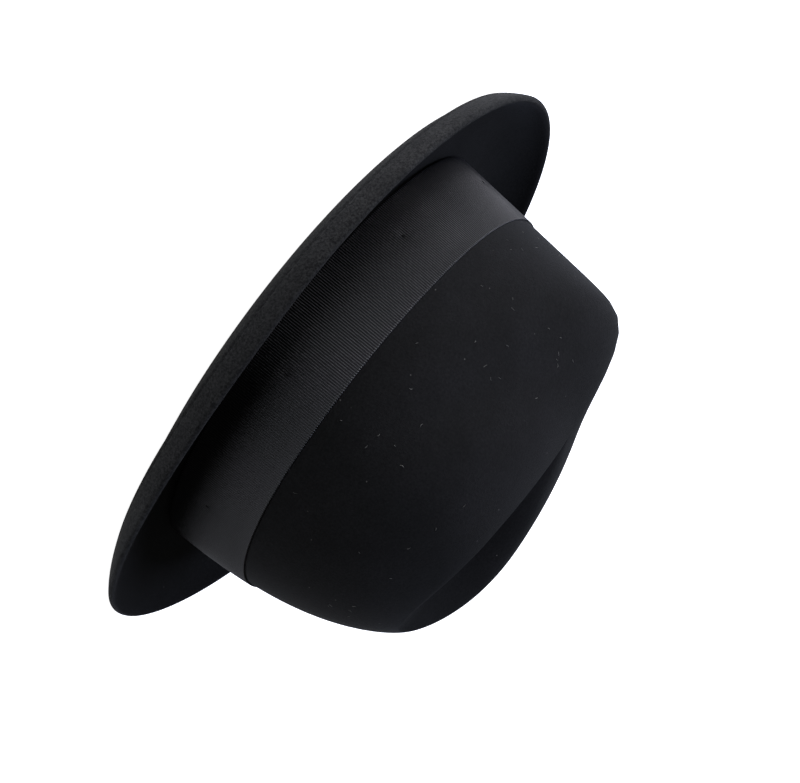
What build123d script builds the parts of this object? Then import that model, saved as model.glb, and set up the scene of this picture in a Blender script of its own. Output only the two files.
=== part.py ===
from build123d import *
import math
import os

# Felt hat with a teardrop crown, a short turned-up brim and a grosgrain band.
# Millimetres. +Z up, -Y the front of the hat, +X the wearer's left.
# The origin is under the middle of the brim, on the surface that the hat stands on.

# Head oval: the outer face of the felt where the crown meets the brim
oval_half_length = 103.5
oval_half_width = 86.5
oval_egg = 0.03           # how much wider the back of the oval is than its front

# Felt
felt = 1.8
break_height = 3.0        # top face of the felt at the front and back of the oval
saddle = 3.0              # how much higher the oval is at the sides

# Brim
brim_front = 41.0
brim_side = 36.5
brim_back = 45.0
brim_blunt = 0.05         # how much wider the front of the brim is than its back
rim_front = 18.0          # height of the top of the rim
rim_side = 17.5
rim_back = 8.0
welt_width = 9.5          # the brim's edge is folded under by this much

# Crown, as heights above the break
peak_front = 117.0        # where the single front ridge opens into the teardrop
peak_side = 122.5
peak_back = 110.5
teardrop_front = 32.0     # from the middle of the head to the teardrop's point
teardrop_back = 77.0
teardrop_half_width = 28.5
basin_depth = 21.0
basin_middle = 26.0       # how far behind the middle of the head the basin is deepest
pinch_depth = 7.0

# Ribbon
ribbon_height = 41.5
ribbon_lift = 2.2         # the ribbon's lower edge above the break
ribbon_thick = 0.6
bow_length = 58.0
bow_middle = 268.0        # on the wearer's right, in degrees from the front
bow_thick = 2.2
bow_inset = 1.5           # the bow is narrower than the ribbon by this at each edge
keeper_width = 13.0
keeper_thick = 0.7

# Lining, label and sweatband, from the felt inwards
lining_thick = 0.3
label_thick = 0.25
label_width = 16.0
label_middle = 200.0      # degrees from the front
label_low = 20.0
label_high = 46.0
sweatband_thick = 0.9
sweatband_low = 0.8
sweatband_high = 37.0
reed_radius = 0.75
back_bow_length = 17.0
back_bow_height = 7.0
back_bow_thick = 1.4
back_bow_level = 30.0
layer_gap = 0.12

# Thread
thread_radius = 0.3
welt_stitch = 3.4
welt_stitch_count = 150
welt_stitch_inset = 7.6   # from the rim
sweatband_stitch = 2.6
sweatband_stitch_count = 120
sweatband_stitch_level = 3.4
tack_length = 2.0
tack_count = 8
tack_first = 55.0         # degrees from the front
tack_level = 17.0         # above the ribbon's lower edge

# Points on each closed curve, and the small steps that slopes are measured over
angles = [360.0 * i / 48 for i in range(48)]
angle_step = 0.25
station_step = 0.004

# Worked out from the sizes above
head_y = (brim_front - brim_back) / 2
trough_lift = 0.47 * felt   # room for the folded edge under the brim's lowest ring
fold_reach = 1.7 * felt     # the rounded fold stands this far outside the top face's edge
ribbon_top = ribbon_lift + ribbon_height
lining_gap = 0.35 * felt    # the lining's coarser curves keep clear of the felt's
label_out = felt + lining_gap + lining_thick + layer_gap
sweatband_out = label_out + label_thick + layer_gap
sweatband_in = sweatband_out + sweatband_thick


def blend(angle, front, side, back):
    """A value that runs from front to side to back round the hat."""
    c = math.cos(math.radians(angle))
    return side + (front - side if c > 0 else back - side) * c * c


def front_only(angle):
    """1 at the very front, falling quickly to 0 at the sides."""
    return max(math.cos(math.radians(angle)), 0.0) ** 6


def oval(angle):
    a = math.radians(angle)
    x = oval_half_width * math.sin(a) * (1 - oval_egg * math.cos(a))
    y = head_y - oval_half_length * math.cos(a)
    return Vector(x, y, break_height + saddle * math.sin(a) ** 2)


def teardrop(angle):
    """The ridge round the top of the crown."""
    a = math.radians(angle)
    middle = (teardrop_back - teardrop_front) / 2
    reach = (teardrop_back + teardrop_front) / 2
    swell = math.sin(a) * abs(math.sin(a / 2)) ** 1.2 / 0.74
    height = break_height + blend(angle, peak_front, peak_side, peak_back)
    return Vector(teardrop_half_width * swell, head_y + middle - reach * math.cos(a), height)


def pinch(angle, share):
    """Depth of the shallow dent on each side of the front."""
    turn = angle % 360
    turn = min(turn, 360 - turn)
    valley = 79 - 129 * (share - 0.63)
    across = math.exp(-(((turn - valley) / 20) ** 2))
    along = math.exp(-(((share - 0.80) / 0.17) ** 2)) * (1 - share ** 8)
    return pinch_depth * across * along


def wall(angle, share):
    """Outer face of the crown; share is 0 at the break and 1 on the ridge."""
    foot = oval(angle)
    top = teardrop(angle)
    sharp = front_only(angle)
    n = math.exp(math.log(blend(angle, 4.0, 4.0, 2.8)) * (1 - sharp) + math.log(20.0) * sharp)
    k = blend(angle, 0.6, 0.6, 0.85) * (1 - sharp) + 1.2 * sharp
    lean = blend(angle, 0.05, 0.05, 0.0) * (1 - sharp) + 0.17 * sharp
    inset = lean * share + (1 - lean) * (1 - (1 - share ** n) ** k)
    span = math.hypot(top.X - foot.X, top.Y - foot.Y)
    inset += pinch(angle, share) / span
    flat = foot + (top - foot) * inset
    return Vector(flat.X, flat.Y, foot.Z + (top.Z - foot.Z) * share)


def basin(angle, share):
    """Dished top of the crown; share is 0 on the ridge and 1 at the middle."""
    rim = teardrop(angle)
    sink = share * share * (3 - 2 * share)
    bottom = break_height + peak_side - basin_depth
    x = rim.X * (1 - share)
    y = rim.Y + (head_y + basin_middle - rim.Y) * share
    return Vector(x, y, rim.Z + (bottom - rim.Z) * sink)


def brim_curve(angle, v):
    """Top face of the brim; v is 0 at the break and 1 at the rim."""
    a = math.radians(angle)
    foot = oval(angle)
    wide = oval_half_width + brim_side - fold_reach
    mean = (brim_front + brim_back) / 2
    long = oval_half_length + blend(angle, brim_front, mean, brim_back) - fold_reach
    rim_x = wide * math.sin(a) * (1 + brim_blunt * math.cos(a))
    rim_y = head_y - long * math.cos(a)
    rim_z = blend(angle, rim_front, rim_side, rim_back)
    trough = (felt + trough_lift - 0.14 * foot.Z - 0.11 * rim_z) / 0.745
    one = 3 * (1 - v) ** 2 * v
    two = 3 * (1 - v) * v * v
    out = 0.42 * one + blend(angle, 0.80, 0.93, 0.80) * two + v ** 3
    z = (1 - v) ** 3 * foot.Z + (one + two) * trough + v ** 3 * rim_z
    return Vector(foot.X + (rim_x - foot.X) * out, foot.Y + (rim_y - foot.Y) * out, z)


def brim_share(angle, inset):
    """The brim_curve value at a distance along the felt from the rim."""
    v = 1.0
    left = inset
    here = brim_curve(angle, v)
    while left > 0 and v > 0:
        there = brim_curve(angle, v - 0.01)
        length = (there - here).length
        if length >= left:
            return v - 0.01 * left / length
        left -= length
        here = there
        v -= 0.01
    return v


def hood(angle, station):
    """Outer face of the felt: the brim to station 1, the wall to 2, the basin to 3."""
    if station <= 1:
        return brim_curve(angle, 1 - station)
    if station <= 2:
        return wall(angle, station - 1)
    return basin(angle, station - 2)


def skin(angle, station, out):
    """A point at a distance outside the felt's outer face."""
    piece = min(math.floor(station), 2)
    low = max(station - station_step, piece)
    high = min(station + station_step, piece + 1)
    along = hood(angle, high) - hood(angle, low)
    across = hood(angle + angle_step, station) - hood(angle - angle_step, station)
    return hood(angle, station) + across.cross(along).normalized() * out


def at_height(angle, height):
    """The wall's station at a height above the break."""
    return 1 + height / (teardrop(angle).Z - oval(angle).Z)


def loop(points):
    """A smooth closed wire through one point for each angle."""
    spaced = [i / len(points) for i in range(len(points) + 1)]
    return Wire([Edge.make_spline(points, periodic=True, parameters=spaced)])


def ring(station, out):
    """A closed wire on the skin; station is a number or a function of the angle."""
    if callable(station):
        return loop([skin(a, station(a), out) for a in angles])
    return loop([skin(a, station, out) for a in angles])


def fold(angle, turn):
    """The rounded fold at the rim; turn is 90 on the top face and -90 underneath."""
    middle = skin(angle, 0, -felt)
    up = (skin(angle, 0, 0) - middle).normalized()
    away = (hood(angle, 0) - hood(angle, 0.02)).normalized()
    a = math.radians(turn)
    return middle + away * (felt * math.cos(a)) + up * (felt * math.sin(a))


def sewn(*shells):
    """One solid inside the shells."""
    return Solid(Shell([face for shell in shells for face in shell.faces()]))


def band(stations, inside, outside):
    """A closed strip round the crown between two distances from the felt's face."""
    outer = [ring(s, outside) for s in stations]
    inner = [ring(s, inside) for s in stations]
    return sewn(
        Shell.make_loft(outer),
        Shell.make_loft(inner),
        Shell.make_loft([outer[0], inner[0]], True),
        Shell.make_loft([outer[-1], inner[-1]], True),
    )


def over_the_top(rings, out):
    """A smooth skin through the rings that closes at the middle of the crown."""
    pole = hood(0, 3) + Vector(0, 0, out)
    return Shell.make_loft(rings + [Vertex(*pole)])


def patch(middle, width, low, high, inside, thick):
    """A curved strip that lies on the crown, width along it and low to high up it."""
    radius = (skin(middle, at_height(middle, low), inside) - Vector(0, head_y, 0)).length
    half = math.degrees(width / 2 / radius)
    turns = [middle + half * (i / 4 - 1) for i in range(9)]
    levels = [low + (high - low) * i / 6 for i in range(7)]
    points = [[skin(a, at_height(a, h), inside) for h in levels] for a in turns]
    face = Face.make_surface_from_array_of_points(points, tol=0.005)
    foot = at_height(middle, low)
    outward = skin(middle, foot, inside + 1) - skin(middle, foot, inside)
    return Solid.thicken(face, thick, outward)


def stitch(angle, station, out, length, upright=False):
    """A short round thread end to end along the crown or the brim, or up the crown."""
    middle = skin(angle, station, out)
    if upright:
        way = skin(angle, station + station_step, out) - middle
    else:
        way = skin(angle + angle_step, station, out) - middle
    start = middle - way.normalized() * (length / 2)
    return Solid.make_cylinder(thread_radius, length, Plane(start, z_dir=way))


brim_stations = [0.08, 0.2, 0.35, 0.5, 0.65, 0.8, 0.9, 0.96]
wall_stations = [1.013, 1.05, 1.1, 1.2, 1.32, 1.45, 1.57, 1.66, 1.73]
wall_stations += [1.785, 1.83, 1.87, 1.905, 1.935, 1.96, 1.985]
basin_stations = [2.0, 2.06, 2.15, 2.28, 2.45, 2.65, 2.85]


def welt_end(angle):
    """The station where the folded edge ends under the brim."""
    return 1 - brim_share(angle, welt_width)


def welt_middle(angle):
    return welt_end(angle) / 2


# Crown and brim: one felt hood, with the edge of the brim folded under
with BuildPart() as felt_body:
    turns = [-90, -50, 0, 50, 90]
    folded = [loop([fold(a, turn) for a in angles]) for turn in turns]
    outer = [ring(s, 0) for s in brim_stations + wall_stations + basin_stations]
    welt = [folded[0], ring(welt_middle, -2 * felt), ring(welt_end, -2 * felt)]
    under = [ring(welt_end, -felt)]
    under += [ring(s, -felt) for s in brim_stations if s > 0.3]
    under += [ring(s, -felt) for s in wall_stations + basin_stations]
    add(
        sewn(
            over_the_top(folded + outer, 0),
            Shell.make_loft(welt),
            Shell.make_loft([welt[-1], under[0]], True),
            over_the_top(under, -felt),
        )
    )

# Thread along the folded edge, one running stitch after another
with BuildPart() as brim_welt_stitching:
    for i in range(welt_stitch_count):
        turn = 360 * (i + 0.5) / welt_stitch_count
        line = 1 - brim_share(turn, welt_stitch_inset)
        add(stitch(turn, line, -2 * felt - thread_radius - layer_gap, welt_stitch))

# Grosgrain ribbon round the foot of the crown
ribbon_levels = [ribbon_lift + ribbon_height * i / 4 for i in range(5)]
with BuildPart() as ribbon_band:
    stations = [lambda a, h=h: at_height(a, h) for h in ribbon_levels]
    add(band(stations, layer_gap, layer_gap + ribbon_thick))

# Tacks that hold the ribbon's upper edge to the felt
tack_out = 2 * layer_gap + ribbon_thick + thread_radius
with BuildPart() as ribbon_tacks:
    for i in range(tack_count):
        turn = (tack_first + 360 * i / tack_count) % 360
        if abs(turn - bow_middle) > bow_length / 2:
            station = at_height(turn, ribbon_lift + tack_level)
            add(stitch(turn, station, tack_out, tack_length, True))

# Flat bow over the ribbon's join, and the strap round its middle
bow_out = 2 * layer_gap + ribbon_thick
bow_low = ribbon_lift + bow_inset
bow_high = ribbon_top - bow_inset
with BuildPart() as ribbon_bow_loops:
    add(patch(bow_middle, bow_length, bow_low, bow_high, bow_out, bow_thick))
keeper_out = bow_out + bow_thick + layer_gap
with BuildPart() as ribbon_bow_keeper:
    add(patch(bow_middle, keeper_width, ribbon_lift, ribbon_top, keeper_out, keeper_thick))

# Sweatband inside the head opening, its reed and its thread
sweatband_levels = [sweatband_low + (sweatband_high - sweatband_low) * i / 3 for i in range(4)]
with BuildPart() as sweatband:
    stations = [lambda a, h=h: at_height(a, h) for h in sweatband_levels]
    add(band(stations, -sweatband_in, -sweatband_out))
reed_out = -(sweatband_in + sweatband_out) / 2
reed_drop = sweatband_low - reed_radius - layer_gap


def reed_ring(turn):
    """A closed wire along the reed's surface; turn goes round its section."""
    a = math.radians(turn)
    out = reed_out + reed_radius * math.cos(a)
    lift = Vector(0, 0, reed_drop + reed_radius * math.sin(a))
    return loop([skin(angle, at_height(angle, 0), out) + lift for angle in angles])


with BuildPart() as sweatband_reed:
    halves = [[reed_ring(start + 45 * i) for i in range(5)] for start in (-90, 90)]
    add(sewn(Shell.make_loft(halves[0]), Shell.make_loft(halves[1])))
with BuildPart() as sweatband_stitching:
    for i in range(sweatband_stitch_count):
        turn = 360 * (i + 0.5) / sweatband_stitch_count
        line = at_height(turn, sweatband_stitch_level)
        add(stitch(turn, line, -sweatband_in - thread_radius - layer_gap, sweatband_stitch))

# Small bow over the sweatband's seam at the back
back_foot = skin(180, at_height(180, back_bow_level), -sweatband_in - layer_gap)
back_up = skin(180, at_height(180, back_bow_level + 1), -sweatband_in - layer_gap) - back_foot
with BuildPart() as sweatband_back_bow:
    away = Vector(1, 0, 0).cross(back_up).normalized()
    with BuildSketch(Plane(back_foot + away * 0.9, x_dir=(1, 0, 0), z_dir=away)):
        with Locations((-back_bow_length / 4, 0), (back_bow_length / 4, 0)):
            Ellipse(back_bow_length / 4 + 0.6, back_bow_height / 2)
        Rectangle(back_bow_height * 0.6, back_bow_height * 0.7)
    extrude(amount=back_bow_thick)

# Lining: a strip round the side and a panel over the top
lining_out = -felt - lining_gap
lining_in = lining_out - lining_thick
side_stations = wall_stations[3:9]
tip_stations = [side_stations[-1] + station_step] + wall_stations[9:] + basin_stations
with BuildPart() as lining_side:
    add(band(side_stations, lining_in, lining_out))
with BuildPart() as lining_tip:
    near = [ring(s, lining_out) for s in tip_stations]
    far = [ring(s, lining_in) for s in tip_stations]
    add(
        sewn(
            over_the_top(near, lining_out),
            over_the_top(far, lining_in),
            Shell.make_loft([near[0], far[0]], True),
        )
    )

# Blank label tucked behind the sweatband
with BuildPart() as size_label:
    inside = -label_out - label_thick
    add(patch(label_middle, label_width, label_low, label_high, inside, label_thick))

pieces = {
    "felt_body": felt_body,
    "brim_welt_stitching": brim_welt_stitching,
    "ribbon_band": ribbon_band,
    "ribbon_tacks": ribbon_tacks,
    "ribbon_bow_loops": ribbon_bow_loops,
    "ribbon_bow_keeper": ribbon_bow_keeper,
    "sweatband": sweatband,
    "sweatband_reed": sweatband_reed,
    "sweatband_stitching": sweatband_stitching,
    "sweatband_back_bow": sweatband_back_bow,
    "lining_side": lining_side,
    "lining_tip": lining_tip,
    "size_label": size_label,
}
os.makedirs("parts", exist_ok=True)
for name, piece in pieces.items():
    piece.part.label = name
    export_step(piece.part, f"parts/{name}.step")
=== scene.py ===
import math
import bmesh
import bpy
import numpy as np
from mathutils import Matrix, Vector


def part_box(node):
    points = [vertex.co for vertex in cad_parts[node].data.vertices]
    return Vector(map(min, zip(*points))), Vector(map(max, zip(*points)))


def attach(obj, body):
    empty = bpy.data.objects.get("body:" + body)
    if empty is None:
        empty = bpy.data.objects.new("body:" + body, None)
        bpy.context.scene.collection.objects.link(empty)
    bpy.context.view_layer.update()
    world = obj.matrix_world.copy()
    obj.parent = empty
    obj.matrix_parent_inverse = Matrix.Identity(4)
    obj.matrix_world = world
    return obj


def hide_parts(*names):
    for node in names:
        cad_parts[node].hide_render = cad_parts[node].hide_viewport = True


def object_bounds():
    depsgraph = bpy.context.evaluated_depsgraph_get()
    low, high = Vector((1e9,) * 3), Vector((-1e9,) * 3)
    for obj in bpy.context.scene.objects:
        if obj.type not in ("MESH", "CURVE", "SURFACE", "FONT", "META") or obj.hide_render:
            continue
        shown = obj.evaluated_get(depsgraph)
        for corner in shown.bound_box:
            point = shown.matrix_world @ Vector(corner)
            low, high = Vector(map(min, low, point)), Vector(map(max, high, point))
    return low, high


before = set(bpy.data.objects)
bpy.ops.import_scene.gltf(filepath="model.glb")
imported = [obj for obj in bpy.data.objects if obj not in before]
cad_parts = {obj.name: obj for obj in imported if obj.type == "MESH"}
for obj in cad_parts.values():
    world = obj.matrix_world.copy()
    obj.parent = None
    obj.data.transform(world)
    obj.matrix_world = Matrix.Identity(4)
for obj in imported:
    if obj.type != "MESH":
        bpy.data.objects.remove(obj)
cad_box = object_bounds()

MM = 0.001

# ---------------------------------------------------------------- sizes from the frame

hood_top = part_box("felt_body")[1][2]

felt = 1.8 * MM              # one thickness of felt
gap = 0.12 * MM              # between neighbouring layers
ribbon_thick = 0.6 * MM
fold_reach = 1.7 * felt      # the rounded fold stands this far outside the top face's edge
trough_lift = 0.47 * felt

brim_back = 45.0 * MM
brim_front = 41.0 * MM
head_y = (brim_front - brim_back) / 2
oval_half_length = 103.5 * MM
oval_half_width = 86.5 * MM
brim_side = 36.5 * MM
break_height = 3.0 * MM
saddle = 3.0 * MM
peak_side = hood_top - break_height
peak_front = peak_side - 5.5 * MM
peak_back = peak_side - 12.0 * MM
rim_front = 18.0 * MM
rim_side = 17.5 * MM
rim_back = 8.0 * MM
teardrop_half_width = 28.5 * MM
teardrop_half_length = 54.5 * MM
teardrop_back_shift = 22.5 * MM   # the dent's middle lies this far behind the head's
basin_back_shift = 26.0 * MM      # and its deepest point this far
basin_depth = 21.0 * MM
pinch_depth = 7.0 * MM
welt_width = 9.5 * MM
welt_seam = 7.6 * MM
ribbon_lift = 2.2 * MM
ribbon_height = 41.5 * MM
ribbon_top = ribbon_lift + ribbon_height
rib_pitch = 1.04 * MM
rib_count = 570              # whole ribs round the band, about one to each rib_pitch
rib_depth = 0.52 * MM
bow_middle = math.radians(268)
bow_length = 58.0 * MM
bow_thick = 2.2 * MM
bow_out = 2 * gap + ribbon_thick
keeper_width = 13.0 * MM
keeper_thick = 0.7 * MM
keeper_out = bow_out + bow_thick + gap
tack_angles = [math.radians((55 + 45 * i) % 360) for i in range(8) if i != 5]
tack_height = ribbon_lift + 17.0 * MM
lining_out = -felt - 0.35 * felt
lining_thick = 0.3 * MM
label_out = lining_out - lining_thick - gap
label_thick = 0.25 * MM
sweatband_out = label_out - label_thick - gap
sweatband_in = sweatband_out - 0.9 * MM
sweatband_low = 0.8 * MM
sweatband_high = 37.0 * MM
sweatband_seam = 3.4 * MM
reed_radius = 0.75 * MM


# ---------------------------------------------------------------- the hood's shape

def blend(angle, front, side, back):
    """A value that runs from front to side to back round the hat."""
    c = np.cos(angle)
    return side + np.where(c > 0, front - side, back - side) * c * c


def oval(angle):
    x = oval_half_width * np.sin(angle) * (1 - 0.03 * np.cos(angle))
    y = head_y - oval_half_length * np.cos(angle)
    return np.stack([x, y, break_height + saddle * np.sin(angle) ** 2], -1)


def teardrop(angle):
    swell = np.sin(angle) * np.abs(np.sin(angle / 2)) ** 1.2 / 0.74
    height = break_height + blend(angle, peak_front, peak_side, peak_back)
    y = head_y + teardrop_back_shift - teardrop_half_length * np.cos(angle)
    return np.stack([teardrop_half_width * swell, y, height], -1)


def pinch(angle, share):
    """Depth of the shallow dent on each side of the front."""
    turn = np.degrees(angle) % 360
    turn = np.minimum(turn, 360 - turn)
    across = np.exp(-(((turn - 79 + 129 * (share - 0.63)) / 20) ** 2))
    along = np.exp(-(((share - 0.80) / 0.17) ** 2)) * (1 - share ** 8)
    return pinch_depth * across * along


def wall(angle, share):
    foot = oval(angle)
    top = teardrop(angle)
    sharp = np.maximum(np.cos(angle), 0) ** 6
    n = np.exp(np.log(blend(angle, 4.0, 4.0, 2.8)) * (1 - sharp) + math.log(20.0) * sharp)
    k = blend(angle, 0.6, 0.6, 0.85) * (1 - sharp) + 1.2 * sharp
    lean = blend(angle, 0.05, 0.05, 0.0) * (1 - sharp) + 0.17 * sharp
    inset = lean * share + (1 - lean) * (1 - np.maximum(1 - share ** n, 0) ** k)
    inset = inset + pinch(angle, share) / np.hypot(*(top - foot)[..., :2].T).T
    place = foot + (top - foot) * inset[..., None]
    place[..., 2] = foot[..., 2] + (top - foot)[..., 2] * share
    return place


def basin(angle, share):
    rim = teardrop(angle)
    sink = share * share * (3 - 2 * share)
    x = rim[..., 0] * (1 - share)
    y = rim[..., 1] + (head_y + basin_back_shift - rim[..., 1]) * share
    z = rim[..., 2] + (break_height + peak_side - basin_depth - rim[..., 2]) * sink
    return np.stack([x, y, z], -1)


def brim(angle, v):
    """Top face of the brim; v is 0 at the break and 1 at the rim."""
    foot = oval(angle)
    wide = oval_half_width + brim_side - fold_reach
    mean = (brim_front + brim_back) / 2
    long = oval_half_length + blend(angle, brim_front, mean, brim_back) - fold_reach
    rim_x = wide * np.sin(angle) * (1 + 0.05 * np.cos(angle))
    rim_y = head_y - long * np.cos(angle)
    rim_z = blend(angle, rim_front, rim_side, rim_back)
    trough = (felt + trough_lift - 0.14 * foot[..., 2] - 0.11 * rim_z) / 0.745
    one = 3 * (1 - v) ** 2 * v
    two = 3 * (1 - v) * v * v
    out = 0.42 * one + blend(angle, 0.80, 0.93, 0.80) * two + v ** 3
    x = foot[..., 0] + (rim_x - foot[..., 0]) * out
    y = foot[..., 1] + (rim_y - foot[..., 1]) * out
    return np.stack([x, y, (1 - v) ** 3 * foot[..., 2] + (one + two) * trough + v ** 3 * rim_z], -1)


def hood(angle, station):
    """Outer face of the felt: the brim to station 1, the wall to 2, the basin to 3."""
    angle, station = np.broadcast_arrays(np.asarray(angle, float), np.asarray(station, float))
    on_brim = brim(angle, 1 - np.clip(station, 0, 1))
    on_wall = wall(angle, np.clip(station - 1, 0, 1))
    on_top = basin(angle, np.clip(station - 2, 0, 1))
    s = station[..., None]
    return np.where(s < 1, on_brim, np.where(s < 2, on_wall, on_top))


def skin(angle, station, out):
    """Points at a distance outside the felt's outer face."""
    angle, station, out = np.broadcast_arrays(*(np.asarray(q, float) for q in (angle, station, out)))
    piece = np.minimum(np.floor(station), 2)
    low = np.maximum(station - 0.004, piece + 1e-6)
    high = np.minimum(station + 0.004, piece + 1 - 1e-6)
    turn = math.radians(0.25)
    along = hood(angle, high) - hood(angle, low)
    across = hood(angle + turn, station) - hood(angle - turn, station)
    normal = np.cross(across, along)
    normal /= np.maximum(np.linalg.norm(normal, axis=-1, keepdims=True), 1e-12)
    return hood(angle, station) + normal * out[..., None]


def at_height(angle, height):
    """The wall's station at a height above the break."""
    return 1 + height / (teardrop(angle)[..., 2] - oval(angle)[..., 2])


def brim_station(angle, inset):
    """The station at a distance along the felt from the rim."""
    v = np.linspace(1, 0, 201)
    points = brim(angle[:, None], v[None, :])
    run = np.cumsum(np.linalg.norm(np.diff(points, axis=1), axis=-1), axis=1)
    run = np.concatenate([np.zeros((len(angle), 1)), run], axis=1)
    return np.array([1 - np.interp(inset, r, v) for r in run])


def fold(angle, turn):
    """The rounded fold at the rim; turn is 90 on the top face and -90 underneath."""
    middle = skin(angle, 0.0, -felt)
    up = skin(angle, 0.0, 0.0) - middle
    away = hood(angle, 0.0) - hood(angle, 0.02)
    away /= np.linalg.norm(away, axis=-1, keepdims=True)
    a = math.radians(turn)
    return middle + away * felt * math.cos(a) + up * math.sin(a)


# ---------------------------------------------------------------- making pieces

def laid_grid(bm, columns, rows, lay, relief=None):
    """A grid laid on a surface: lay takes the shares along columns and rows, from 0 to 1, and so does
    relief, which gives how high on a rib or how deep in the nap each point is; the materials paint shade
    into the rib furrows and a lighter tone on the felt's nap band from it."""
    made = bmesh.ops.create_grid(bm, x_segments=columns, y_segments=rows, size=1, calc_uvs=True)
    flat = (np.array([v.co[:] for v in made["verts"]]) + 1) / 2
    for vert, point in zip(made["verts"], lay(flat[:, 0], flat[:, 1])):
        vert.co = point
    if relief:
        layer = bm.verts.layers.float["relief"]
        for vert, high in zip(made["verts"], relief(flat[:, 0], flat[:, 1])):
            vert[layer] = high


def ringed(curves, turns, relief=None):
    """A surface round the hat through one closed curve for each row."""
    bm = new_bmesh()

    def lay(u, v):
        row = np.rint(v * (len(curves) - 1)).astype(int)
        place = np.zeros((len(u), 3))
        for i, curve in enumerate(curves):
            mine = row == i
            place[mine] = curve(u[mine] * math.tau)
        return place

    laid_grid(bm, turns, len(curves) - 1, lay, relief)
    return bm


def new_bmesh():
    bm = bmesh.new()
    bm.loops.layers.uv.new("UVMap")
    bm.verts.layers.float.new("relief")
    return bm


def finished(name, bm, material, node, merge=1e-6):
    """A piece from a bmesh: doubles merged, faces outward, in place of its CAD node."""
    bmesh.ops.remove_doubles(bm, verts=bm.verts, dist=merge)
    bmesh.ops.recalc_face_normals(bm, faces=bm.faces)
    for face in bm.faces:
        face.smooth = True
    mesh = bpy.data.meshes.new(name)
    bm.to_mesh(mesh)
    bm.free()
    mesh.materials.append(material)
    piece = bpy.data.objects.new(name, mesh)
    bpy.context.scene.collection.objects.link(piece)
    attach(piece, "root")
    if node:
        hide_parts(node)
    return piece


def thicken(piece, name, thickness, offset):
    solid = piece.modifiers.new(name, "SOLIDIFY")
    solid.thickness = thickness
    solid.offset = offset


def on_skin(station, out):
    return lambda angle: skin(angle, station, out)


def at_inset(inset, out):
    return lambda angle: skin(angle, brim_station(angle, inset), out)


def at_level(height, out):
    return lambda angle: skin(angle, at_height(angle, height), out)


def near_turn(angle, middle, width):
    """1 at the middle angle, falling to 0 over the width."""
    away = (angle - middle + math.pi) % math.tau - math.pi
    return np.exp(-((away / width) ** 2))


# ---------------------------------------------------------------- materials

def linear(hex_colour):
    """An sRGB hex colour as a linear RGBA."""
    parts = [int(hex_colour[i:i + 2], 16) / 255 for i in (1, 3, 5)]
    return tuple(c / 12.92 if c <= 0.04045 else ((c + 0.055) / 1.055) ** 2.4 for c in parts) + (1.0,)


def add_node(tree, kind, links=(), inputs=(), **settings):
    """A node with its settings, its input values and its incoming links."""
    node = tree.nodes.new(kind)
    for name, value in settings.items():
        setattr(node, name, value)
    for name, value in dict(inputs).items():
        node.inputs[name].default_value = value
    for name, socket in dict(links).items():
        tree.links.new(socket, node.inputs[name])
    return node


def finish_named(name, **values):
    """A new material with values set on its shader's own sockets."""
    material = bpy.data.materials.new(name)
    material.use_nodes = True
    tree = material.node_tree
    shader = tree.nodes["Principled BSDF"]
    for socket, value in values.items():
        shader.inputs[socket.replace("_", " ")].default_value = value
    place = add_node(tree, "ShaderNodeTexCoord").outputs["Object"]
    return material, tree, shader, place


def mottle(tree, place, size, **inputs):
    """Noise whose blotches are about size across."""
    return add_node(
        tree, "ShaderNodeTexNoise", {"Vector": place},
        {"Scale": 1 / size, "Detail": 4.0, "Roughness": 0.6, **inputs},
    ).outputs["Fac"]


def two_tones(tree, factor, dark, light, low=0.3, high=0.7):
    ramp = add_node(tree, "ShaderNodeValToRGB", {"Fac": factor})
    ramp.color_ramp.elements[0].position = low
    ramp.color_ramp.elements[0].color = linear(dark)
    ramp.color_ramp.elements[1].position = high
    ramp.color_ramp.elements[1].color = linear(light)
    return ramp.outputs["Color"]


def bumped(tree, shader, height, distance, strength=1.0):
    bump = add_node(
        tree, "ShaderNodeBump", {"Height": height}, {"Distance": distance, "Strength": strength},
    )
    tree.links.new(bump.outputs["Normal"], shader.inputs["Normal"])


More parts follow.
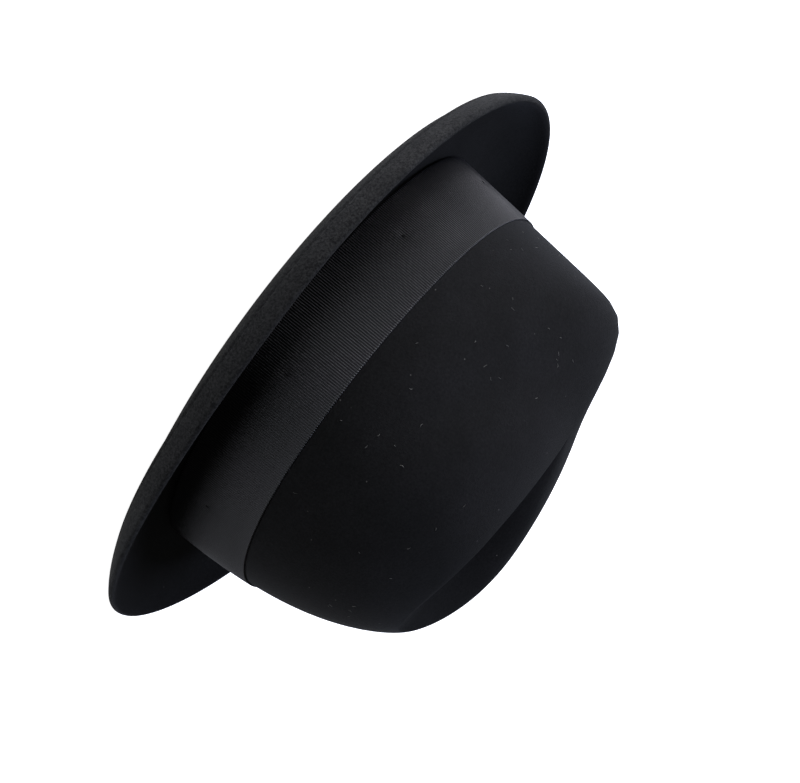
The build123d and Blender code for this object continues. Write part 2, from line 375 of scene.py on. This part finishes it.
def wool_felt():
    """Blocked black wool felt, shorn to a short nap: matt, faintly mottled, a few specks of lint, and a
    fuzzier nap round the brim's rim and underside, which is also painted a lighter tone as a painted
    highlight."""
    material, tree, shader, place = finish_named(
        "black_wool_felt", Roughness=0.95, Specular_IOR_Level=0.08,
        Sheen_Weight=0.03, Sheen_Roughness=0.55, Sheen_Tint=linear("#b8bcc4"),
    )
    broad = mottle(tree, place, 22 * MM)
    shorn = two_tones(tree, broad, "#0a0a09", "#101010")
    # painted highlight: the band round the brim's rim and underside gets this lighter tone than the rest
    # of the felt
    rim_painted_light = two_tones(tree, broad, "#181817", "#222221")
    nap = mottle(tree, place, 1.1 * MM, Detail=6.0, Roughness=0.7)
    brushed = two_tones(tree, nap, "#9a9a9a", "#ffffff", 0.35, 0.68)
    fuzzy = two_tones(tree, nap, "#6c6c6c", "#ffffff", 0.40, 0.60)
    # 1 on the band with the fuzzier nap and the painted highlight, 0 elsewhere
    nap_and_lit_band = add_node(tree, "ShaderNodeAttribute", attribute_name="relief").outputs["Fac"]
    tone = add_node(tree, "ShaderNodeMix", {0: nap_and_lit_band, 6: shorn, 7: rim_painted_light}, data_type="RGBA")
    fleck = add_node(tree, "ShaderNodeMix", {0: nap_and_lit_band, 6: brushed, 7: fuzzy}, data_type="RGBA")
    mixed = add_node(
        tree, "ShaderNodeMix", {6: tone.outputs[2], 7: fleck.outputs[2]}, {0: 1.0},
        data_type="RGBA", blend_type="MULTIPLY",
    )
    lint = add_node(
        tree, "ShaderNodeTexVoronoi", {"Vector": place}, {"Scale": 1 / (9 * MM)},
    ).outputs["Distance"]
    speck = add_node(
        tree, "ShaderNodeMapRange", {"Value": lint},
        {"From Min": 0.018, "From Max": 0.045, "To Min": 1.0, "To Max": 0.0},
    ).outputs["Result"]
    specked = add_node(
        tree, "ShaderNodeMix", {0: speck, 6: mixed.outputs[2]}, data_type="RGBA",
        inputs={7: linear("#3c3b38")},
    )
    tree.links.new(specked.outputs[2], shader.inputs["Base Color"])
    loft = add_node(
        tree, "ShaderNodeMapRange", {"Value": nap_and_lit_band}, {"To Min": 0.55, "To Max": 1.6},
    ).outputs["Result"]
    height = add_node(tree, "ShaderNodeMath", {0: nap, 1: loft}, operation="MULTIPLY")
    bumped(tree, shader, height.outputs["Value"], 0.4 * MM, 0.9)
    return material


def grosgrain_ribbon():
    """Woven rayon grosgrain: fine warp over thick weft ribs, with a soft silky gloss on the ribs. The
    ribs are in the mesh, the warp threads are here, and shade is painted into the furrows: near black
    there, dark grey on the crests."""
    material, tree, shader, place = finish_named(
        "black_grosgrain", Roughness=0.42, Specular_IOR_Level=0.22,
        Sheen_Weight=0.01, Sheen_Roughness=0.4, Sheen_Tint=linear("#c4c8d2"),
    )
    warp = mottle(tree, place, 0.5 * MM, Detail=3.0)
    rib = add_node(tree, "ShaderNodeAttribute", attribute_name="relief").outputs["Fac"]
    # painted shade: the colour runs from near black in each furrow to dark grey on each crest, varied by
    # the warp threads
    painted_furrow_shade = add_node(
        tree, "ShaderNodeMix", {0: warp, 6: two_tones(tree, rib, "#000000", "#161617", 0.35, 0.95)},
        data_type="RGBA",
    )
    tree.links.new(two_tones(tree, rib, "#010101", "#232325", 0.35, 0.95), painted_furrow_shade.inputs[7])
    tree.links.new(painted_furrow_shade.outputs[2], shader.inputs["Base Color"])
    bumped(tree, shader, warp, 0.12 * MM, 0.5)
    return material


def sewing_thread():
    """Mercerised cotton thread: two twisted plies with a low gloss."""
    material, tree, shader, place = finish_named(
        "black_cotton_thread", Roughness=0.8, Specular_IOR_Level=0.12,
    )
    ply = mottle(tree, place, 0.3 * MM)
    tree.links.new(two_tones(tree, ply, "#060606", "#111112"), shader.inputs["Base Color"])
    bumped(tree, shader, ply, 0.08 * MM, 0.6)
    return material


def roan_leather():
    """Thin finished sheep leather: smooth, pebbled by a fine grain, with a low even gloss that is
    a little duller where the grain sinks."""
    material, tree, shader, place = finish_named("black_roan_leather", Specular_IOR_Level=0.5)
    pebble = add_node(
        tree, "ShaderNodeTexVoronoi", {"Vector": place}, {"Scale": 1 / (1.3 * MM)},
        feature="SMOOTH_F1",
    ).outputs["Distance"]
    worn = mottle(tree, place, 14 * MM)
    tree.links.new(two_tones(tree, worn, "#1b1817", "#25211f"), shader.inputs["Base Color"])
    gloss = add_node(
        tree, "ShaderNodeMapRange", {"Value": pebble}, {"To Min": 0.38, "To Max": 0.6},
    ).outputs["Result"]
    tree.links.new(gloss, shader.inputs["Roughness"])
    bumped(tree, shader, pebble, 0.18 * MM, 0.7)
    return material


def reed_tape():
    """Waxed cotton tape drawn round a plastic reed: nearly matt, with the tape's fine weave."""
    material, tree, shader, place = finish_named("waxed_reed_tape", Roughness=0.7)
    weave = mottle(tree, place, 0.6 * MM)
    tree.links.new(two_tones(tree, weave, "#161616", "#272727"), shader.inputs["Base Color"])
    bumped(tree, shader, weave, 0.1 * MM, 0.6)
    return material


def lining_satin():
    """Woven acetate satin: long floats lie round the hat, so its gloss is stretched across them
    and soft ripples show as light and dark bands."""
    material, tree, shader, place = finish_named(
        "black_acetate_satin", Roughness=0.34, Specular_IOR_Level=0.6, Anisotropic=0.5,
        Sheen_Weight=0.1, Sheen_Roughness=0.3,
    )
    shade = mottle(tree, place, 9 * MM)
    tree.links.new(two_tones(tree, shade, "#17171a", "#212125"), shader.inputs["Base Color"])
    squeezed = add_node(
        tree, "ShaderNodeMapping", {"Vector": place}, {"Scale": (1.0, 1.0, 6.0)},
    ).outputs["Vector"]
    floats = mottle(tree, squeezed, 1.4 * MM)
    bumped(tree, shader, floats, 0.06 * MM, 0.5)
    return material


def label_tape():
    """Taffeta label tape: undyed polyester, dull, with a visible plain weave."""
    material, tree, shader, place = finish_named(
        "undyed_label_tape", Roughness=0.75, Sheen_Weight=0.15,
    )
    threads = add_node(
        tree, "ShaderNodeTexChecker", {"Vector": place}, {"Scale": 1 / (0.35 * MM)},
    ).outputs["Fac"]
    tree.links.new(two_tones(tree, threads, "#aca79c", "#c6c2b8", 0.0, 1.0), shader.inputs["Base Color"])
    bumped(tree, shader, threads, 0.05 * MM, 0.6)
    return material


def stray_lint():
    """Loose undyed wool fibre: dull, greyed by dust and paler than the felt it clings to."""
    material, tree, shader, place = finish_named("stray_wool_lint", Roughness=0.9)
    dust = mottle(tree, place, 2 * MM)
    tree.links.new(two_tones(tree, dust, "#2a2a28", "#565550"), shader.inputs["Base Color"])
    return material


felt_finish = wool_felt()
ribbon_finish = grosgrain_ribbon()
thread_finish = sewing_thread()
leather_finish = roan_leather()
reed_finish = reed_tape()
satin_finish = lining_satin()
label_finish = label_tape()
lint_finish = stray_lint()


# ---------------------------------------------------------------- felt

def felt_hood():
    top = [on_skin(3 - 1e-6, 0.0)]
    top += [on_skin(s, 0.0) for s in np.linspace(2.97, 2.02, 14)]
    top += [on_skin(s, 0.0) for s in 2 - np.geomspace(0.004, 0.20, 14)]
    top += [on_skin(s, 0.0) for s in np.linspace(1.77, 1.03, 22)]
    top += [on_skin(1.012, 0.0), on_skin(0.985, 0.0)]
    top += [on_skin(s, 0.0) for s in np.linspace(0.95, 0.03, 26)]
    edge = [lambda a, t=t: fold(a, t) for t in np.linspace(90, -90, 11)]
    welt = [at_inset(d * MM, -2 * felt) for d in (0.8, 2.4, 4.0, 5.6, 6.6, 7.1)]
    welt += [at_inset(welt_seam, -1.74 * felt)]
    welt += [at_inset(d * MM, -2 * felt) for d in (8.1, 8.7, 9.3)]
    step = [at_inset(welt_width, -1.85 * felt), at_inset(welt_width, -1.05 * felt)]
    under = [at_inset(d * MM, -felt) for d in (9.8, 12, 15, 18, 22, 26, 30)]
    under += [on_skin(s, -felt) for s in (0.9, 0.95)]
    inner = [on_skin(s, -felt) for s in np.linspace(1.015, 1.77, 18)]
    inner += [on_skin(s, -felt) for s in (2 - np.geomspace(0.004, 0.20, 12))[::-1]]
    inner += [on_skin(s, -felt) for s in np.linspace(2.02, 2.97, 12)]
    inner += [on_skin(3 - 1e-6, -felt)]
    smooth_rows = len(top) + 2
    nap_and_lit_band_end = smooth_rows + len(edge + welt + step + under) - 2
    last = len(top + edge + welt + step + under + inner) - 1

    # the band over the rim's fold, the welt and the brim's underside, where the nap is fuzzier and a
    # lighter tone is painted as a painted highlight
    def nap_and_lit_band(u, v):
        row = np.rint(v * last)
        return ((row > smooth_rows) & (row < nap_and_lit_band_end)).astype(float)

    bm = ringed(top + edge + welt + step + under + inner, 320, nap_and_lit_band)
    finished("felt_hood", bm, felt_finish, "felt_body", merge=4e-5)


def lint_fibres():
    """A few curled fibres that cling to the nap, half of them near the front of the crown."""
    dice = np.random.default_rng(7)
    bm = new_bmesh()
    for i in range(46):
        middle = math.radians(dice.normal(38, 22) if i % 2 else dice.uniform(60, 170))
        station = dice.uniform(1.42, 1.93)
        heading = dice.uniform(0, math.tau)
        length = dice.uniform(0.9, 2.6) * MM
        curl = dice.uniform(-0.5, 0.5)
        radius = dice.uniform(0.05, 0.11) * MM
        foot = skin(middle, station, 0.06 * MM)
        out = skin(middle, station, 1.0 * MM) - foot
        out /= np.linalg.norm(out)
        side = np.cross(out, (0, 0, 1))
        side /= np.linalg.norm(side)
        up = np.cross(out, side)

        def lay(u, v):
            t = 2 * v - 1
            run = side * math.cos(heading) + up * math.sin(heading)
            bend = np.cross(out, run)
            line = foot + np.outer(t * length / 2, run) + np.outer(curl * length / 2 * t * t, bend)
            line += np.outer(0.12 * MM * (1 - t * t), out)
            wide = radius * np.sqrt(np.maximum(1 - t ** 4, 0))
            line += np.outer(wide * np.cos(u * math.tau), bend)
            return line + np.outer(wide * np.sin(u * math.tau), out)

        laid_grid(bm, 4, 5, lay)
    finished("lint_fibres", bm, lint_finish, None)


# ---------------------------------------------------------------- ribbon

def rib_height(phase):
    """1 on the crest of a rib and 0 in the furrow beside it; the crests are narrow."""
    return 1 - (0.5 - 0.5 * np.cos(phase)) ** 0.8


def tack_dimple(angle, height):
    """How far the ribbon is pulled in round each tack."""
    radius = 82.0 * MM
    pull = np.zeros_like(angle)
    for tack in tack_angles:
        away = ((angle - tack + math.pi) % math.tau - math.pi) * radius
        pull += np.exp(-(away ** 2 + (height - tack_height) ** 2) / (1.5 * MM) ** 2)
    return 0.28 * MM * pull


def grosgrain_band():
    def ribbed(height, share):
        def curve(angle):
            furrow = rib_depth * share * (1 - rib_height(angle * rib_count))
            out = gap + ribbon_thick - furrow - tack_dimple(angle, height)
            return skin(angle, at_height(angle, height), out)
        return curve

    low, high = ribbon_lift, ribbon_top
    heights = [low + 1.0 * MM, low + 8 * MM, tack_height - 2.4 * MM, tack_height - 1.0 * MM]
    heights += [tack_height, tack_height + 1.0 * MM, tack_height + 2.4 * MM, low + 27 * MM]
    heights += [low + 34 * MM, high - 1.0 * MM]
    rows = [at_level(low + 0.05 * MM, gap), ribbed(low, 0.9), ribbed(low + 0.4 * MM, 0.5)]
    rows += [ribbed(h, 1.0) for h in heights]
    rows += [ribbed(high - 0.4 * MM, 0.5), ribbed(high, 0.9), at_level(high - 0.05 * MM, gap)]
    bm = ringed(rows + rows[:1], rib_count * 6, lambda u, v: rib_height(u * math.tau * rib_count))
    finished("grosgrain_band", bm, ribbon_finish, "ribbon_band", merge=1e-7)


def ribbon_patch(along, level, out):
    """Points over the ribbon's join: along it from the bow's middle, up it and out from it."""
    radius = 84.0 * MM
    angle = bow_middle + along / radius
    return skin(angle, at_height(angle, level), out)


def flat_bow_loops():
    """One length of ribbon folded into two flat loops, drawn in under the strap at the middle."""
    half = bow_length / 2
    ribs = int(bow_length / rib_pitch)
    bm = new_bmesh()

    def run(u):
        share = np.where(u < 0.5, u * 4 - 1, 3 - u * 4)
        return half * np.sin(share * math.pi / 2 * 0.999)

    def lay(u, v):
        side = np.where(u < 0.5, 1.0, -1.0)
        along = run(u)
        drawn = np.exp(-((along / (9 * MM)) ** 2))
        puff = (bow_thick / 2 - ribbon_thick * 0.4) * np.sqrt(np.maximum(1 - (along / half) ** 10, 0))
        puff = puff * (1 - 0.45 * drawn)
        out = bow_out + bow_thick / 2 - 0.3 * MM * drawn + side * puff
        pleat = 0.22 * MM * drawn * np.cos(v * 5 * math.tau)
        furrow = rib_depth * 0.6 * (1 - rib_height(along / rib_pitch * math.tau))
        out = out + np.where(side > 0, pleat - furrow, 0.0)
        reach = (v - 0.5) * (ribbon_height - 3.2 * MM) * (1 - 0.08 * drawn)
        return ribbon_patch(along, ribbon_lift + ribbon_height / 2 + reach, out)

    laid_grid(bm, ribs * 8 * 2, 20, lay, lambda u, v: rib_height(run(u) / rib_pitch * math.tau))
    piece = finished("flat_bow_loops", bm, ribbon_finish, "ribbon_bow_loops", merge=1e-7)
    thicken(piece, "ribbon_thickness", 0.35 * MM, -1)


def bow_strap():
    """A short length of ribbon round the bow's middle, its ends turned in behind."""
    half = keeper_width / 2
    rows = int(ribbon_height / rib_pitch)
    bm = new_bmesh()

    def lay(u, v):
        along = half * (2 * u - 1)
        edge = np.abs(2 * u - 1)
        level = ribbon_lift + ribbon_height * v
        end = np.minimum(v, 1 - v) * ribbon_height
        turned = np.sqrt(np.clip(1 - (1 - np.clip(end / (1.4 * MM), 0, 1)) ** 2, 0, 1))
        furrow = rib_depth * 0.6 * (1 - rib_height(v * rows * math.tau))
        top = keeper_out + keeper_thick - furrow * (edge < 0.93) - 0.25 * MM * edge ** 6
        out = bow_out + 0.3 * MM + (top - bow_out - 0.3 * MM) * turned
        return ribbon_patch(along, level, out)

    laid_grid(bm, 14, rows * 6, lay, lambda u, v: rib_height(v * rows * math.tau))
    piece = finished("bow_strap", bm, ribbon_finish, "ribbon_bow_keeper", merge=1e-7)
    thicken(piece, "ribbon_thickness", 0.4 * MM, -1)


# ---------------------------------------------------------------- thread

def stitches(name, spots, length, radius, node):
    """A row of short stitches; a spot is its middle, the way it runs and the way out."""
    bm = new_bmesh()
    for middle, run, out in spots:
        bend = np.cross(out, run)

        def lay(u, v):
            t = 2 * v - 1
            wide = radius * np.sqrt(np.maximum(1 - t ** 6, 0))
            twist = radius * 0.18 * np.cos(u * math.tau * 2 + t * 9)
            line = middle + np.outer(t * length / 2, run) - np.outer(radius * 1.3 * t ** 4, out)
            line += np.outer((wide + twist * (1 - t ** 6)) * np.cos(u * math.tau), bend)
            return line + np.outer((wide + twist * (1 - t ** 6)) * np.sin(u * math.tau), out)

        laid_grid(bm, 8, 6, lay)
    finished(name, bm, thread_finish, node)


def spots_along(angles, stations, out, upright=False):
    """Middles and directions of stitches on the felt's skin."""
    found = []
    for angle, station in zip(angles, stations):
        middle = skin(angle, station, out)
        outward = skin(angle, station, out + math.copysign(1.0, out) * MM) - middle
        if upright:
            run = skin(angle, station + 0.01, out) - middle
        else:
            run = skin(angle + 0.01, station, out) - middle
        found.append((middle, run / np.linalg.norm(run), outward / np.linalg.norm(outward)))
    return found


def all_stitching():
    turns = (np.arange(150) + 0.5) * math.tau / 150
    rows = brim_station(turns, welt_seam)
    spots = spots_along(turns, rows, -1.86 * felt)
    stitches("welt_stitches", spots, 3.0 * MM, 0.2 * MM, "brim_welt_stitching")
    turns = (np.arange(120) + 0.5) * math.tau / 120
    spots = spots_along(turns, at_height(turns, sweatband_seam), sweatband_in - 0.16 * MM)
    stitches("sweatband_stitches", spots, 2.8 * MM, 0.26 * MM, "sweatband_stitching")
    turns = np.array(tack_angles)
    spots = spots_along(turns, at_height(turns, tack_height), gap + ribbon_thick - 0.18 * MM, True)
    stitches("ribbon_tack_stitches", spots, 2.0 * MM, 0.24 * MM, "ribbon_tacks")


# ---------------------------------------------------------------- inside the hat

def leather_sweatband():
    """One band of leather, its free edge gently waved, thicker where its ends lap at the back."""
    def inside(height, out):
        def curve(angle):
            free = max(height - 20 * MM, 0) / (17 * MM)
            wave = 0.16 * MM * free * (np.sin(angle * 31) + 0.6 * np.sin(angle * 53 + 1))
            lap = 0.35 * MM * near_turn(angle, math.pi, 0.045) ** 2
            sunk = 0.12 * MM * math.exp(-((height - sweatband_seam) / (0.8 * MM)) ** 2)
            return skin(angle, at_height(angle, height), out - np.abs(wave) - lap + sunk)
        return curve

    low, high = sweatband_low, sweatband_high
    rows = [at_level(low + 0.25 * MM, sweatband_out), inside(low, (sweatband_out + sweatband_in) / 2)]
    levels = (0.3, 1.2, 1.9, 2.6, 3.3, 4.0, 7, 12, 18, 24, 30)
    rows += [inside(low + level * MM, sweatband_in) for level in levels]
    rows += [inside(high - 0.3 * MM, sweatband_in), inside(high, (sweatband_out + sweatband_in) / 2)]
    rows += [at_level(high - 0.25 * MM, sweatband_out)]
    bm = ringed(rows + rows[:1], 480)
    finished("leather_sweatband", bm, leather_finish, "sweatband")


def taped_reed():
    """The round reed under the sweatband's foot, its tape wound on a slant."""
    middle = (sweatband_out + sweatband_in) / 2
    drop = sweatband_low - reed_radius - gap

    def around(turn):
        def curve(angle):
            wrap = reed_radius * (1 - 0.06 * np.abs(np.sin(angle * 140 + turn)))
            place = skin(angle, at_height(angle, 0.0), middle + wrap * math.cos(turn))
            place[..., 2] += drop + wrap * math.sin(turn)
            return place
        return curve

    bm = ringed([around(t) for t in np.linspace(0, math.tau, 13)], 1120)
    finished("taped_reed", bm, reed_finish, "sweatband_reed")


def back_bow():
    """A small ribbon bow sewn over the sweatband's lap: two loops and the knot between them."""
    foot = skin(math.pi, at_height(math.pi, 30 * MM), sweatband_in - gap)
    up = skin(math.pi, at_height(math.pi, 31 * MM), sweatband_in - gap) - foot
    up /= np.linalg.norm(up)
    across = np.array([1.0, 0.0, 0.0])
    away = np.cross(across, up)
    away *= np.sign(away @ (np.array([0.0, head_y, foot[2]]) - foot))
    centre = foot + away * 1.6 * MM
    bm = new_bmesh()
    for side in (-1, 1):
        def loop_of(u, v):
            t = 1.2 * MM + 7.2 * MM * v
            tall = 3.4 * MM * np.sin(np.clip(0.22 + 0.78 * v, 0, 1) * math.pi * 0.62) ** 1.2
            tall = tall * np.sqrt(np.clip(1 - np.maximum(v - 0.72, 0) ** 2 / 0.0784, 0, 1))
            thick = 0.62 * MM * np.sqrt(np.clip(1 - np.maximum(v - 0.5, 0) ** 2 / 0.25, 0, 1))
            crease = 1 - 0.35 * np.cos(u * math.tau * 6) * (1 - v) * 0.5
            turn = u * math.tau
            place = centre + np.outer(side * t, across) + np.outer(tall * np.sin(turn), up)
            return place + np.outer(thick * crease * np.cos(turn), away)

        laid_grid(bm, 28, 24, loop_of, lambda u, v: rib_height(v * 7 * math.tau))

    def knot(u, v):
        turn = u * math.tau
        t = 2 * v - 1
        full = np.abs(np.cos(turn)) ** 0.7 * np.sign(np.cos(turn))
        side = np.abs(np.sin(turn)) ** 0.7 * np.sign(np.sin(turn))
        round_off = np.sqrt(np.clip(1 - t ** 8, 0, 1))
        place = centre + np.outer(2.1 * MM * side * round_off, across)
        place += np.outer(2.3 * MM * t, up)
        return place + np.outer(0.8 * MM * full * round_off, away)

    laid_grid(bm, 28, 24, knot, lambda u, v: rib_height(v * 4 * math.tau))
    finished("back_bow", bm, ribbon_finish, "sweatband_back_bow", merge=2e-5)


def satin_ripple(angle, height):
    """Shallow folds where the strip is eased round the crown."""
    fold_line = np.sin(angle * 23 + 2 * np.sin(angle * 3)) + 0.5 * np.sin(angle * 41 + 1.3)
    return 0.30 * MM * np.abs(fold_line) * math.exp(-((height / (30 * MM)) ** 2))


def satin_lining():
    """A strip round the side and an oval panel over the top, edge to edge with a fine gap."""
    thick = lining_thick * 0.6

    def side(station, share):
        def curve(angle):
            ripple = satin_ripple(angle, 60 * MM * (1 - share))
            return skin(angle, station, lining_out - thick * 0.2 - ripple)
        return curve

    low_station, high_station = 1.20, 1.728
    shares = np.linspace(0, 1, 15)
    rows = [side(low_station + (high_station - low_station) * s, s) for s in shares]
    strip = finished("lining_strip", ringed(rows, 420), satin_finish, "lining_side")
    panel_stations = list(np.linspace(1.738, 1.80, 4)) + list(2 - np.geomspace(0.004, 0.18, 12)[::-1])
    panel_stations += list(np.linspace(2.03, 2.96, 14)) + [3 - 1e-6]

    def tip(station):
        def curve(angle):
            gather = 0.16 * MM * np.abs(np.sin(angle * 36)) * math.exp(-((station - 1.738) / 0.05) ** 2)
            return skin(angle, station, lining_out - thick * 0.2 - gather)
        return curve

    bm = ringed([tip(s) for s in panel_stations], 420)
    panel = finished("lining_panel", bm, satin_finish, "lining_tip", merge=3e-5)
    for piece in (strip, panel):
        thicken(piece, "satin_thickness", thick, 0)


def blank_label():
    """A plain blank tape tucked behind the sweatband."""
    middle = math.radians(200)
    bm = new_bmesh()

    def lay(u, v):
        level = (20 + 26 * v) * MM
        angle = middle + (u - 0.5) * 16 * MM / (78 * MM)
        lift = 0.5 * label_thick * (1 + 0.3 * np.sin(v * 7) * (u - 0.5))
        return skin(angle, at_height(angle, level), label_out - lift)

    laid_grid(bm, 18, 26, lay)
    piece = finished("blank_label", bm, label_finish, "size_label")
    thicken(piece, "tape_thickness", 0.16 * MM, 0)


felt_hood()
lint_fibres()
grosgrain_band()
flat_bow_loops()
bow_strap()
all_stitching()
leather_sweatband()
taped_reed()
back_bow()
satin_lining()
blank_label()


# ---------------------------------------------------------------- camera, light and floor

def point_camera(target, azimuth, elevation, roll, distance, lens):
    """A camera that looks at the target; azimuth 90 looks along -X, roll turns it clockwise."""
    az, el, turn = (math.radians(q) for q in (azimuth, elevation, roll))
    back = Vector((math.sin(az) * math.cos(el), -math.cos(az) * math.cos(el), math.sin(el)))
    right = Vector((math.cos(az), math.sin(az), 0))
    up = back.cross(right)
    across = right * math.cos(turn) + up * math.sin(turn)
    above = up * math.cos(turn) - right * math.sin(turn)
    place = Vector(target) + back * distance
    camera = bpy.data.objects.new("camera", bpy.data.cameras.new("camera"))
    camera.matrix_world = Matrix([
        (across.x, above.x, back.x, place.x),
        (across.y, above.y, back.y, place.y),
        (across.z, above.z, back.z, place.z),
        (0, 0, 0, 1),
    ])
    camera.data.lens = lens
    bpy.context.scene.collection.objects.link(camera)
    bpy.context.scene.camera = camera


def soft_box(name, place, target, size, power, colour="#ffffff"):
    """A square area light that faces the target."""
    light = bpy.data.lights.new(name, "AREA")
    light.size = size
    light.energy = power
    light.color = linear(colour)[:3]
    lamp = bpy.data.objects.new(name, light)
    lamp.location = place
    lamp.rotation_euler = (Vector(target) - Vector(place)).to_track_quat("-Z", "Y").to_euler()
    bpy.context.scene.collection.objects.link(lamp)


def white_floor():
    """A pale lit table that runs out of sight, so it joins the white room without an edge."""
    bm = new_bmesh()
    bmesh.ops.create_grid(bm, x_segments=1, y_segments=1, size=30, calc_uvs=True)
    bmesh.ops.translate(bm, verts=bm.verts, vec=(0, 0, cad_box[0][2] - 0.1 * MM))
    mesh = bpy.data.meshes.new("white_floor")
    bm.to_mesh(mesh)
    bm.free()
    material = finish_named(
        "lit_white_acrylic", Base_Color=(0.8, 0.8, 0.8, 1), Roughness=0.9, Specular_IOR_Level=0.0,
        Emission_Color=(1, 1, 1, 1), Emission_Strength=1.0,
    )[0]
    mesh.materials.append(material)
    floor = bpy.data.objects.new("white_floor", mesh)
    bpy.context.scene.collection.objects.link(floor)


def white_room():
    """A white surround that gives less light than it shows, so the dark felt keeps its shading."""
    world = bpy.data.worlds.new("white_room")
    bpy.context.scene.world = world
    world.use_nodes = True
    tree = world.node_tree
    ground = tree.nodes["Background"]
    ground.inputs["Color"].default_value = (1, 1, 1, 1)
    seen = add_node(tree, "ShaderNodeLightPath").outputs["Is Camera Ray"]
    strength = add_node(
        tree, "ShaderNodeMapRange", {"Value": seen}, {"To Min": 0.16, "To Max": 1.0},
    ).outputs["Result"]
    tree.links.new(strength, ground.inputs["Strength"])


point_camera((0.0, -7.4 * MM, 46.5 * MM), 90.0, 15.1, 127.6, 2.4, 245.0)
soft_box("front_softbox", (0.36, -1.28, 0.14), (0.0, 0.0, 0.05), 0.5, 36.0, "#f6f6ff")
soft_box("high_softbox", (0.05, -0.50, 1.25), (0.0, -0.12, 0.03), 0.4, 25.0, "#dce4ff")
white_floor()
white_room()
bpy.context.scene.view_settings.view_transform = "Standard"
